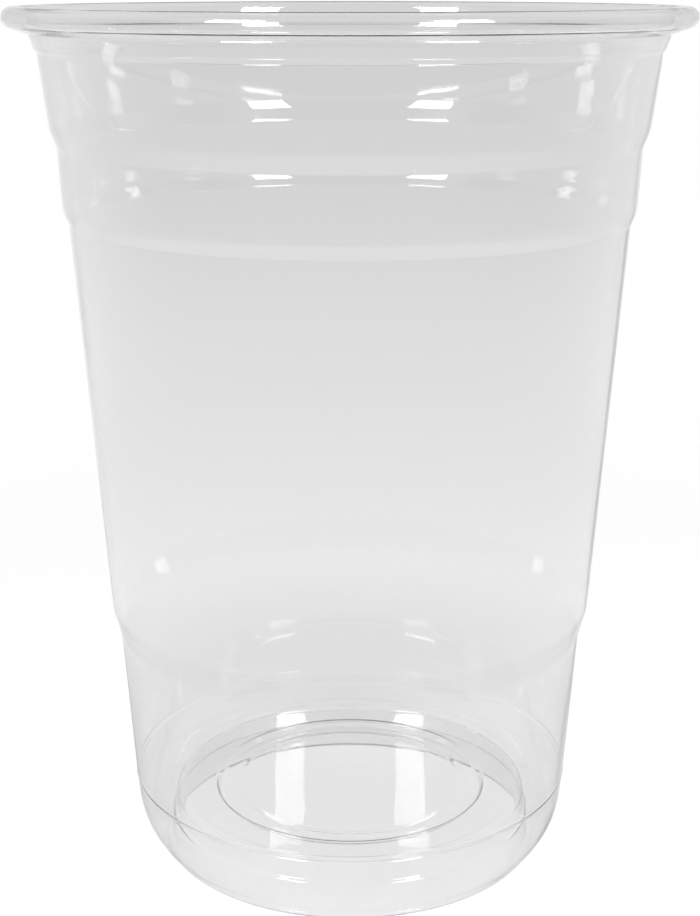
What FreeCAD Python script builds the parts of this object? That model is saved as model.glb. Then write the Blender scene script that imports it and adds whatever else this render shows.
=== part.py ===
import FreeCAD, Part
import math
import os

# Clear drinking cup, thermoformed from one sheet of plastic. Millimetres and degrees.
# It stands on its foot ring at z = 0, with its axis on Z.

# Overall
HEIGHT = 125.0
LIP_DIAMETER = 95.0
FOOT_DIAMETER = 57.5
WALL = 0.30

# Rolled lip: the sheet turns out over the top, down and back under, and stops just clear of the neck
LIP_OVERHANG = 3.45
LIP_FLARE = 6.0
ROLL_HEIGHT = 2.60
ROLL_TUCK = 0.90
ROLL_GAP = 0.30
ROLL_INNER_RADIUS = 1.20
ROLL_OUTER_RADIUS = 1.40
ROLL_LOWER_RADIUS = 0.90

# Neck under the lip, then two bands with a shoulder at the bottom of each, from the top down
NECK_DROP = 3.90
NECK_HEIGHT = 2.20
NECK_DRAFT = 21.0
UPPER_BAND_HEIGHT = 12.70
UPPER_BAND_DRAFT = 6.5
UPPER_SHOULDER_HEIGHT = 3.00
UPPER_SHOULDER_DRAFT = 19.5
LOWER_BAND_HEIGHT = 10.55
LOWER_BAND_DRAFT = 4.3
LOWER_SHOULDER_HEIGHT = 2.65
LOWER_SHOULDER_DRAFT = 14.5

# Lower body, from the foot up: the round heel, the skirt, and the step out to the long taper
HEEL_SPREAD = 3.85
HEEL_RISE = 5.20
HEEL_RADIUS = 14.0
SKIRT_HEIGHT = 30.0
SKIRT_DRAFT = 3.9
STEP_HEIGHT = 3.05
STEP_WIDTH = 1.00

# Foot ring, the groove inside it, and the raised floor with a lower round panel in a dished shelf
FOOT_WIDTH = 1.75
FOOT_RADIUS = 0.80
FLOOR_HEIGHT = 8.20
SHELF_WIDTH = 6.10
SHELF_DISH = 1.35
PANEL_STEP_HEIGHT = 0.60
PANEL_STEP_WIDTH = 0.45

# Rounded corners: how far inside the true round a chord may pass, and the share of a run
# that one corner may take
CHORD_SAG = 0.27
CORNER_SHARE = 0.48


def slope(draft):
    return math.tan(math.radians(draft))


def floor_outline():
    """Underside of the floor, from the centre out to the inner edge of the foot ring."""
    groove = FOOT_DIAMETER / 2 - FOOT_WIDTH
    panel = groove - SHELF_WIDTH
    shelf_z = FLOOR_HEIGHT - SHELF_DISH
    panel_z = shelf_z - PANEL_STEP_HEIGHT
    return [
        (0.0, panel_z, 0.0),
        (panel - PANEL_STEP_WIDTH, panel_z, 0.0),
        (panel, shelf_z, 0.0),
        (groove, FLOOR_HEIGHT, 0.0),
        (groove, 0.0, 0.0),
    ]


def body_outline():
    """Outside of the cup, from the foot ring up to the top of the step."""
    foot = FOOT_DIAMETER / 2
    heel = foot + HEEL_SPREAD
    step = heel + SKIRT_HEIGHT * slope(SKIRT_DRAFT)
    step_z = HEEL_RISE + SKIRT_HEIGHT
    return [
        (foot, 0.0, FOOT_RADIUS),
        (heel, HEEL_RISE, HEEL_RADIUS),
        (step, step_z, 0.0),
        (step + STEP_WIDTH, step_z + STEP_HEIGHT, 0.0),
    ]


def band(top_radius, top_z, height, draft, shoulder_height, shoulder_draft):
    """Bottom and shoulder points of one band, whose top edge is given."""
    shoulder = top_radius - (height - shoulder_height) * slope(draft)
    bottom = shoulder - shoulder_height * slope(shoulder_draft)
    return [
        (bottom, top_z - height, 0.0),
        (shoulder, top_z - height + shoulder_height, 0.0),
    ]


def rim_outline():
    """Both bands and the neck, from the bottom up, each hung from the one above it."""
    neck_top = LIP_DIAMETER / 2 - LIP_OVERHANG
    neck_top_z = HEIGHT - NECK_DROP
    neck = neck_top - NECK_HEIGHT * slope(NECK_DRAFT)
    upper = band(neck, neck_top_z - NECK_HEIGHT, UPPER_BAND_HEIGHT, UPPER_BAND_DRAFT,
                 UPPER_SHOULDER_HEIGHT, UPPER_SHOULDER_DRAFT)
    lower = band(upper[0][0], upper[0][1], LOWER_BAND_HEIGHT, LOWER_BAND_DRAFT,
                 LOWER_SHOULDER_HEIGHT, LOWER_SHOULDER_DRAFT)
    return lower + upper + [(neck, neck_top_z - NECK_HEIGHT, 0.0), (neck_top, neck_top_z, 0.0)]


def lip_outline():
    """Hidden face of the rolled lip, from the inner wall over the top to the tucked edge."""
    neck_top = LIP_DIAMETER / 2 - LIP_OVERHANG
    top = HEIGHT - WALL
    inner = neck_top + (NECK_DROP - WALL) * slope(LIP_FLARE)
    outer = LIP_DIAMETER / 2 - WALL
    roll_bottom = HEIGHT - ROLL_HEIGHT + WALL
    return [
        (inner, top, ROLL_INNER_RADIUS - WALL),
        (outer, top, ROLL_OUTER_RADIUS - WALL),
        (outer, roll_bottom, ROLL_LOWER_RADIUS - WALL),
        (neck_top + WALL + ROLL_GAP, roll_bottom - ROLL_TUCK, 0.0),
    ]


def unit(a, b):
    length = math.dist(a[:2], b[:2])
    return (b[0] - a[0]) / length, (b[1] - a[1]) / length


def rounded(points):
    """Plain (r, z) outline, with each corner's radius, kept within its two runs, turned into chords."""
    outline = [points[0][:2]]
    for before, corner, after in zip(points, points[1:], points[2:]):
        into, out = unit(before, corner), unit(corner, after)
        half_turn = math.acos(into[0] * out[0] + into[1] * out[1]) / 2
        side = math.copysign(1.0, into[0] * out[1] - into[1] * out[0])
        room = CORNER_SHARE * min(math.dist(before[:2], corner[:2]), math.dist(corner[:2], after[:2]))
        radius = min(corner[2], room / math.tan(half_turn))
        if radius <= 0:
            outline.append(corner[:2])
            continue
        setback = radius * math.tan(half_turn)
        centre = (corner[0] - setback * into[0] - side * radius * into[1],
                  corner[1] - setback * into[1] + side * radius * into[0])
        chord_turn = 2 * math.acos(max(0.0, 1 - CHORD_SAG / radius))
        pieces = math.ceil(2 * half_turn / chord_turn)
        heading = math.atan2(into[1], into[0])
        for k in range(pieces + 1):
            angle = heading + side * (2 * half_turn * k / pieces - math.pi / 2)
            outline.append((centre[0] + radius * math.cos(angle), centre[1] + radius * math.sin(angle)))
    outline.append(points[-1][:2])
    return outline


def moved_left(outline, distance):
    """The outline moved to its left, so that every run stays one wall away from its copy."""
    runs = [unit(a, b) for a, b in zip(outline, outline[1:])]
    runs = [runs[0]] + runs + [runs[-1]]
    moved = []
    for (r, z), into, out in zip(outline, runs, runs[1:]):
        share = distance / (1 + into[0] * out[0] + into[1] * out[1])
        moved.append((r - share * (into[1] + out[1]), z + share * (into[0] + out[0])))
    return moved


def make_cup():
    """The sheet's section, one wall thick from the middle of the floor to the tucked edge,
    turned about the axis."""
    outside = rounded(floor_outline() + body_outline() + rim_outline() + lip_outline())
    inside = moved_left(outside, WALL)
    corners = [FreeCAD.Vector(r, 0, z) for r, z in outside + inside[::-1] + outside[:1]]
    section = Part.Face(Part.makePolygon(corners))
    return section.revolve(FreeCAD.Vector(0, 0, 0), FreeCAD.Vector(0, 0, 1), 360)


os.makedirs("parts", exist_ok=True)
cup = make_cup()
cup.exportStep("parts/cup.step")
print("sheet volume %.0f mm3, height %.2f mm" % (cup.Volume, cup.BoundBox.ZLength))
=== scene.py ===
import bpy
import math
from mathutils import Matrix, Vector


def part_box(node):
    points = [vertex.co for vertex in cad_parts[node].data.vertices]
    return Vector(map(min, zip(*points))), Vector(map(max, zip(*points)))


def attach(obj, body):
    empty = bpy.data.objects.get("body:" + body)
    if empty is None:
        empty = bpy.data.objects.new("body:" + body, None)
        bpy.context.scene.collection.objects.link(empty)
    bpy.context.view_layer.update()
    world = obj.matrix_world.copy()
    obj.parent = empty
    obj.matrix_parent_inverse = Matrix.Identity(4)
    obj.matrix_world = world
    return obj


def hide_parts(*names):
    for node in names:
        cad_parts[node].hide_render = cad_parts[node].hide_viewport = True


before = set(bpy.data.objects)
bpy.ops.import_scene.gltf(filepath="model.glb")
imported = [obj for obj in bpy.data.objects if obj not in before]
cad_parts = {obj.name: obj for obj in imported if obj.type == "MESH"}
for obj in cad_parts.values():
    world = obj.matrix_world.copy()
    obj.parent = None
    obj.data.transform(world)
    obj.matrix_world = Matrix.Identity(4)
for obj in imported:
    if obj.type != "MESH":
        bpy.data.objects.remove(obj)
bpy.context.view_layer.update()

MM = 0.001

# The cup, in millimetres. Its height and lip come from the frame. A point of its outline is given by its
# distance from the axis, its height, and the radius of the corner that it makes.
_, top_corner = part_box("cup")
LIP_CLEARANCE = 0.03
HEIGHT = top_corner.z / MM
LIP = top_corner.x / MM - LIP_CLEARANCE
WALL = 0.30
SEGMENTS = 224
FINEST_CHORD = math.radians(7)
SMOOTH_ANGLE = math.radians(40)
SUPPORT = 0.25
SUPPORTED_RUN = 0.75
MERGE_DISTANCE = 1e-7

# Floor: a low round panel with one plain bead, a step, and a nearly flat shelf up to the groove
FLOOR_MIDDLE = 1.0
PANEL_Z = 7.00
BEAD_RADIUS = 17.4
BEAD_WIDTH = 2.2
BEAD_HEIGHT = 0.13
BEAD_SIDE_CORNER = 1.0
BEAD_TOP_CORNER = 1.2
PANEL_EDGE = 20.35
PANEL_CORNER = 0.5
SHELF_START = (20.95, 7.90, 0.25)
FLOOR_EDGE = (26.60, 8.10, 0.9)
GROOVE_LEDGE_TOP = (26.90, 5.00, 0.5)
GROOVE_LEDGE = (27.30, 4.50, 0.4)

# Foot ring, the round heel, and the fine raised ring above it
FOOT_INNER = (27.58, 0, 0.45)
FOOT_OUTER = (28.75, 0, 0.8)
HEEL = (32.45, 5.10, 12.5)
RING_LOW = (32.97, 11.40, 0.4)
RING = (33.15, 11.90, 0.7)
RING_HIGH = (33.10, 12.35, 0.4)

# Step below the long taper
STEP_LOW = (34.61, 34.66, 6.0)
STEP_HIGH = (35.73, 38.80, 6.0)

# The two bands: each stands out from the wall below it at a crease, and a round shoulder turns it upright
LOWER_CREASE = (39.68, 95.75, 0.35)
LOWER_SHOULDER = (40.46, 97.55, 4.5)
UPPER_CREASE = (40.90, 106.20, 0.35)
UPPER_SHOULDER = (41.85, 108.81, 4.7)
BAND_TOP = (42.95, 118.25, 3.0)

# Neck with a small ledge at its foot, and the rolled lip
NECK_LEDGE_LOW = (42.98, 118.90, 0.5)
NECK_LEDGE = (43.42, 119.60, 0.8)
NECK = (43.92, 121.10, 1.0)
LIP_INNER = 44.40
LIP_TOP_RADIUS = 1.30
LIP_OUTER_RADIUS = 1.35
LIP_LOWER_RADIUS = 1.15
ROLL_HEIGHT = 2.50
ROLL_TUCK = 0.95
ROLL_GAP = 0.30

# Clear sheet: tint and gloss, and the waves to the metre along each axis of its draw marks and its haze
SHEET_TINT = 0.975
SHEET_IOR = 1.575
SHEET_ROUGHNESS = 0.012
SHADOW_TINT = 0.95
DRAW_MARKS = (55, 55, 14)
DRAW_MARK_DETAIL = 2.0
DRAW_MARK_DEPTH = 0.10
HAZE = (120, 120, 60)
HAZE_DETAIL = 1.0
HAZE_ROUGHNESS = 0.03

# White floor: its size in metres, its own paint, and the share of even white laid over that near the cup
FLOOR_RADIUS = 3.0
FLOOR_SIDES = 96
FLOOR_COLOUR = 0.9
FLOOR_ROUGHNESS = 0.9
FLOOR_EVEN = 0.82
FLOOR_NEAR = 0.13
FLOOR_FAR = 0.25

# Levels of the white that the sheet shows, through it and in its gloss: a painted shadow under the cup, behind
# it and on the camera's dim side, each with the distances between which it comes and goes
SHADE_NEAR = 0.05
SHADE_FAR = 0.13
PAINTED_SHADOW_THROUGH = 0.655
PAINTED_SHADOW_GLOSS = 0.65
FLOOR_GLOSS = 1.0
BACKDROP_START = 0.15
BACKDROP_END = 0.85
BACKDROP_NEAR = 0.83
BACKDROP_FAR = 0.715
BACKDROP_EDGE = 0.3
DIM_SIDE = 0.2
ROOM = 0.33

# Two tall strips of light in front, one on each side, in metres, degrees and watts
STRIP_AZIMUTH = 37
STRIP_ELEVATION = 26
STRIP_DISTANCE = 1.0
STRIP_WIDTH = 0.27
STRIP_HEIGHT = 0.37
STRIP_POWER = 8.0

# Camera: the picture is 700 by 916 pixels, and its long side is the sensor's
CAMERA_PLACE = (0.0, -0.24225, 0.12863)
CAMERA_TILT = 15.827
PICTURE_HEIGHT = 916
FOCAL_PIXELS = 1692.6
SENSOR = 36.0
CLIP_START = 0.01


def quiet():
    """Nothing is selected or active."""
    if bpy.context.object and bpy.context.object.mode != "OBJECT":
        bpy.ops.object.mode_set(mode="OBJECT")
    bpy.ops.object.select_all(action="DESELECT")


def unit(a, b):
    """Direction from a to b in the outline's plane."""
    length = math.dist(a[:2], b[:2])
    return (b[0] - a[0]) / length, (b[1] - a[1]) / length


def turn(before, corner, after):
    """Angle by which the outline turns at this corner."""
    into, out = unit(before, corner), unit(corner, after)
    return math.acos(max(-1.0, min(1.0, into[0] * out[0] + into[1] * out[1])))


def rounded(points):
    """Plain (r, z) outline of points (r, z, radius): arcs at the corners, and on every run that is long enough
    a support close to each of its ends, so that smooth shading keeps it straight."""
    setbacks = [0.0]
    for before, corner, after in zip(points, points[1:], points[2:]):
        setbacks.append(corner[2] * math.tan(turn(before, corner, after) / 2))
    setbacks.append(0.0)
    outline = [points[0][:2]]
    for i in range(1, len(points)):
        into = unit(points[i - 1], points[i])
        start, end = setbacks[i - 1], math.dist(points[i - 1][:2], points[i][:2]) - setbacks[i]
        if end - start > SUPPORTED_RUN:
            for place in (start + SUPPORT, end - SUPPORT):
                outline.append((points[i - 1][0] + place * into[0], points[i - 1][1] + place * into[1]))
        if i == len(points) - 1:
            break
        out = unit(points[i], points[i + 1])
        whole = turn(*points[i - 1:i + 2])
        side = math.copysign(1.0, into[0] * out[1] - into[1] * out[0])
        corner, radius = points[i], points[i][2]
        centre = (corner[0] - setbacks[i] * into[0] - side * radius * into[1],
                  corner[1] - setbacks[i] * into[1] + side * radius * into[0])
        pieces = max(2, math.ceil(whole / FINEST_CHORD))
        heading = math.atan2(into[1], into[0])
        for k in range(pieces + 1):
            angle = heading + side * (whole * k / pieces - math.pi / 2)
            outline.append((centre[0] + radius * math.cos(angle), centre[1] + radius * math.sin(angle)))
    outline.append(points[-1][:2])
    return outline


def cup_outline():
    """Underside and outside of the sheet, from the middle of the floor to the tucked edge of the lip."""
    lip_top = HEIGHT - WALL
    lip_outer = LIP - WALL
    roll_bottom = HEIGHT - ROLL_HEIGHT + WALL
    return rounded([
        (FLOOR_MIDDLE, PANEL_Z, 0),
        (BEAD_RADIUS - BEAD_WIDTH / 2, PANEL_Z, BEAD_SIDE_CORNER),
        (BEAD_RADIUS, PANEL_Z + BEAD_HEIGHT, BEAD_TOP_CORNER),
        (BEAD_RADIUS + BEAD_WIDTH / 2, PANEL_Z, BEAD_SIDE_CORNER),
        (PANEL_EDGE, PANEL_Z, PANEL_CORNER),
        SHELF_START, FLOOR_EDGE, GROOVE_LEDGE_TOP, GROOVE_LEDGE,
        FOOT_INNER, FOOT_OUTER, HEEL, RING_LOW, RING, RING_HIGH,
        STEP_LOW, STEP_HIGH,
        LOWER_CREASE, LOWER_SHOULDER, UPPER_CREASE, UPPER_SHOULDER, BAND_TOP,
        NECK_LEDGE_LOW, NECK_LEDGE, NECK,
        (LIP_INNER, lip_top, LIP_TOP_RADIUS - WALL),
        (lip_outer, lip_top, LIP_OUTER_RADIUS - WALL),
        (lip_outer, roll_bottom, LIP_LOWER_RADIUS - WALL),
        (NECK[0] + WALL + ROLL_GAP, roll_bottom - ROLL_TUCK, 0),
    ])


def turned_sheet(name, outline):
    """The outline turned about the axis: rings drawn out one after another from a first circle, each scaled to
    its radius."""
    quiet()
    (r, z), rest = outline[0], outline[1:]
    bpy.ops.mesh.primitive_circle_add(vertices=SEGMENTS, radius=r * MM, location=(0, 0, z * MM))
    piece = bpy.context.object
    piece.name = piece.data.name = name
    bpy.ops.object.transform_apply(location=True, rotation=False, scale=False)
    bpy.ops.object.mode_set(mode="EDIT")
    bpy.ops.mesh.select_all(action="SELECT")
    for r_next, z_next in rest:
        bpy.ops.mesh.extrude_edges_move(TRANSFORM_OT_translate={"value": (0, 0, (z_next - z) * MM)})
        bpy.ops.transform.resize(value=(r_next / r, r_next / r, 1), center_override=(0, 0, z_next * MM))
        r, z = r_next, z_next
    bpy.ops.mesh.select_all(action="DESELECT")
    bpy.ops.object.mode_set(mode="OBJECT")
    return piece


def closed_middle(piece):
    """The smallest ring of the floor is filled, and its faces meet at the axis."""
    reach = (FLOOR_MIDDLE + SUPPORT / 2) * MM
    for vertex in piece.data.vertices:
        vertex.select = math.hypot(vertex.co.x, vertex.co.y) < reach
    bpy.ops.object.mode_set(mode="EDIT")
    bpy.ops.mesh.extrude_edges_move(TRANSFORM_OT_translate={"value": (0, 0, 0)})
    bpy.ops.mesh.merge(type="CENTER")
    bpy.ops.object.mode_set(mode="OBJECT")


def applied(piece, kind, **settings):
    """A modifier of this kind with these settings, applied to the piece's mesh."""
    modifier = piece.modifiers.new(kind.title(), kind)
    for key, value in settings.items():
        setattr(modifier, key, value)
    bpy.context.view_layer.objects.active = piece
    bpy.ops.object.modifier_apply(modifier=modifier.name)


def make_cup():
    """The whole cup as one closed sheet, with its wall given inwards from the outline."""
    piece = turned_sheet("cup_wall", cup_outline())
    closed_middle(piece)
    bpy.ops.object.mode_set(mode="EDIT")
    bpy.ops.mesh.select_all(action="SELECT")
    bpy.ops.mesh.remove_doubles(threshold=MERGE_DISTANCE)
    bpy.ops.mesh.normals_make_consistent(inside=True)
    bpy.ops.object.mode_set(mode="OBJECT")
    applied(piece, "SOLIDIFY", thickness=WALL * MM, offset=-1, use_even_offset=True, use_rim=True)
    bpy.ops.object.shade_smooth_by_angle(angle=SMOOTH_ANGLE)
    return piece


class Value:
    """One value in a node tree. Sums on it add Math nodes, and node() adds any other node."""

    def __init__(self, tree, socket):
        self.tree = tree
        self.socket = socket

    @staticmethod
    def node(tree, kind, settings, inputs, output=0):
        """A node of this kind: its settings first, then the value or the link of each of its sockets."""
        made = tree.nodes.new(kind)
        for name, setting in settings.items():
            setattr(made, name, setting)
        for key, value in inputs.items():
            if isinstance(value, Value):
                tree.links.new(value.socket, made.inputs[key])
            else:
                made.inputs[key].default_value = value
        return Value(tree, made.outputs[output])

    def sum(self, operation, first, second):
        return Value.node(self.tree, "ShaderNodeMath", {"operation": operation}, {0: first, 1: second})

    def __add__(self, other):
        return self.sum("ADD", self, other)

    def __radd__(self, other):
        return self.sum("ADD", other, self)

    def __sub__(self, other):
        return self.sum("SUBTRACT", self, other)

    def __rsub__(self, other):
        return self.sum("SUBTRACT", other, self)

    def __mul__(self, other):
        return self.sum("MULTIPLY", self, other)

    def __rmul__(self, other):
        return self.sum("MULTIPLY", other, self)


def empty_nodes(owner):
    """The owner's node tree, with nothing in it but the output."""
    owner.use_nodes = True
    tree = owner.node_tree
    for node in list(tree.nodes):
        if not node.name.endswith("Output"):
            tree.nodes.remove(node)
    return tree


def finished(tree, output_name, shader):
    """The shader is what the tree's output shows."""
    tree.links.new(shader.socket, tree.nodes[output_name].inputs["Surface"])


def ray(tree, kind):
    """1 for a ray of this kind, and 0 for any other."""
    return Value.node(tree, "ShaderNodeLightPath", {}, {}, output="Is %s Ray" % kind)


def grey(level):
    return (level, level, level, 1)


def rise(tree, value, start, end):
    """0 at the start and 1 at the end, with a soft step between them."""
    return Value.node(tree, "ShaderNodeMapRange", {"interpolation_type": "SMOOTHSTEP"}, {
        "Value": value,
        "From Min": start,
        "From Max": end,
    })


def in_front(tree, place, reach):
    """1 on the camera's side of the cup, falling to 0 over this reach on each side of its middle."""
    y = Value.node(tree, "ShaderNodeSeparateXYZ", {}, {"Vector": place}, output="Y")
    return 1 - rise(tree, y, -reach, reach)


def ripple(tree, place, stretch, detail):
    """Soft noise from 0 to 1 on the piece's own place, with this many waves to the metre along each axis."""
    scaled = Value.node(tree, "ShaderNodeMapping", {}, {"Vector": place, "Scale": stretch})
    return Value.node(tree, "ShaderNodeTexNoise", {}, {
        "Vector": scaled,
        "Scale": 1.0,
        "Detail": detail,
    })


def clear_plastic():
    """Clear glossy sheet: draw marks that run down the wall, and a patchy haze of handling."""
    material = bpy.data.materials.new("clear_plastic")
    tree = empty_nodes(material)
    place = Value.node(tree, "ShaderNodeTexCoord", {}, {}, output="Object")
    draw_marks = ripple(tree, place, DRAW_MARKS, DRAW_MARK_DETAIL)
    haze = ripple(tree, place, HAZE, HAZE_DETAIL)
    normal = Value.node(tree, "ShaderNodeBump", {}, {
        "Strength": 1.0,
        "Distance": MM,
        "Height": draw_marks * DRAW_MARK_DEPTH,
    })
    plastic = Value.node(tree, "ShaderNodeBsdfPrincipled", {}, {
        "Base Color": grey(SHEET_TINT),
        "Transmission Weight": 1.0,
        "IOR": SHEET_IOR,
        "Roughness": haze * HAZE_ROUGHNESS + SHEET_ROUGHNESS,
        "Normal": normal,
    })
    shadow = Value.node(tree, "ShaderNodeBsdfTransparent", {}, {"Color": grey(SHADOW_TINT)})
    surface = Value.node(tree, "ShaderNodeMixShader", {}, {0: ray(tree, "Shadow"), 1: plastic, 2: shadow})
    finished(tree, "Material Output", surface)
    return material


def pale_floor():
    """White floor. What the camera, the sheet and its gloss see of it is mostly an even white, and the rest is
    its real shade, so that the cup's soft shadow stays. Through the sheet and in its gloss the white also
    carries a painted
    shadow: it is painted darker under the cup. Away from the cup it is white to the camera and, on the camera's
    side, dim in gloss."""
    material = bpy.data.materials.new("pale_floor")
    tree = empty_nodes(material)
    place = Value.node(tree, "ShaderNodeTexCoord", {}, {}, output="Object")
    reach = Value.node(tree, "ShaderNodeVectorMath", {"operation": "LENGTH"}, {0: place}, output="Value")
    direct, through = ray(tree, "Camera"), ray(tree, "Transmission")
    gloss = ray(tree, "Glossy") * (1 - through)
    # Painted shadow under the cup: 1 close to the cup, fading to 0 by SHADE_FAR; it paints the white seen
    # through the sheet and in its gloss darker there
    painted_shadow = 1 - rise(tree, reach, SHADE_NEAR, SHADE_FAR)
    away = rise(tree, reach, FLOOR_NEAR, FLOOR_FAR)
    far = rise(tree, reach, BACKDROP_START, BACKDROP_END)
    dim = away * in_front(tree, place, FLOOR_FAR)
    seen_through = BACKDROP_NEAR - painted_shadow * (BACKDROP_NEAR - PAINTED_SHADOW_THROUGH) - far * (BACKDROP_NEAR - BACKDROP_FAR)
    seen_in_gloss = FLOOR_GLOSS - painted_shadow * (FLOOR_GLOSS - PAINTED_SHADOW_GLOSS) - dim * (FLOOR_GLOSS - DIM_SIDE)
    level = direct + through * seen_through + gloss * seen_in_gloss
    even = (FLOOR_EVEN + away * (1 - FLOOR_EVEN)) * (direct + through + gloss)
    paint = Value.node(tree, "ShaderNodeBsdfPrincipled", {}, {
        "Base Color": grey(FLOOR_COLOUR),
        "Roughness": FLOOR_ROUGHNESS,
    })
    white = Value.node(tree, "ShaderNodeEmission", {}, {"Color": grey(1), "Strength": level})
    surface = Value.node(tree, "ShaderNodeMixShader", {}, {0: even, 1: paint, 2: white})
    finished(tree, "Material Output", surface)
    return material


def make_floor():
    quiet()
    bpy.ops.mesh.primitive_circle_add(
        vertices=FLOOR_SIDES, radius=FLOOR_RADIUS, fill_type="NGON", location=(0, 0, 0))
    floor = bpy.context.object
    floor.name = "floor"
    floor.data.materials.append(pale_floor())


def make_world():
    """A dim room that is white to the camera. Behind the cup, in gloss and through the sheet, it is a shade
    under white."""
    world = bpy.data.worlds.new("studio")
    bpy.context.scene.world = world
    tree = empty_nodes(world)
    direct, through = ray(tree, "Camera"), ray(tree, "Transmission")
    gloss = ray(tree, "Glossy") * (1 - through)
    way = Value.node(tree, "ShaderNodeTexCoord", {}, {}, output="Generated")
    behind = 1 - in_front(tree, way, BACKDROP_EDGE)
    gloss_level = DIM_SIDE + behind * (BACKDROP_NEAR - DIM_SIDE)
    level = ROOM + direct * (1 - ROOM) + through * (BACKDROP_FAR - ROOM) + gloss * (gloss_level - ROOM)
    room = Value.node(tree, "ShaderNodeBackground", {}, {"Color": grey(1), "Strength": level})
    finished(tree, "World Output", room)


def strip_light(name, azimuth):
    """Tall soft strip that faces the cup from the front. Its azimuth is 0 towards the camera and grows to the
    camera's right."""
    data = bpy.data.lights.new(name, "AREA")
    data.shape = "RECTANGLE"
    data.size = STRIP_WIDTH
    data.size_y = STRIP_HEIGHT
    data.energy = STRIP_POWER
    lamp = bpy.data.objects.new(name, data)
    bpy.context.scene.collection.objects.link(lamp)
    turn_z, tilt = math.radians(azimuth), math.radians(STRIP_ELEVATION)
    lamp.location = (STRIP_DISTANCE * math.sin(turn_z) * math.cos(tilt),
                     -STRIP_DISTANCE * math.cos(turn_z) * math.cos(tilt),
                     STRIP_DISTANCE * math.sin(tilt) + HEIGHT * MM / 2)
    lamp.rotation_euler = (math.radians(90) - tilt, 0, turn_z)


def make_camera():
    data = bpy.data.cameras.new("camera")
    data.sensor_width = SENSOR
    data.lens = FOCAL_PIXELS / PICTURE_HEIGHT * SENSOR
    data.clip_start = CLIP_START
    camera = bpy.data.objects.new("camera", data)
    camera.location = CAMERA_PLACE
    camera.rotation_euler = (math.radians(90 - CAMERA_TILT), 0, 0)
    bpy.context.scene.collection.objects.link(camera)
    bpy.context.scene.camera = camera


make_camera()
make_floor()
make_world()
strip_light("strip_left", -STRIP_AZIMUTH)
strip_light("strip_right", STRIP_AZIMUTH)

cup = make_cup()
cup.data.materials.append(clear_plastic())
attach(cup, "root")
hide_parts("cup")

bpy.context.scene.view_settings.view_transform = "Standard"
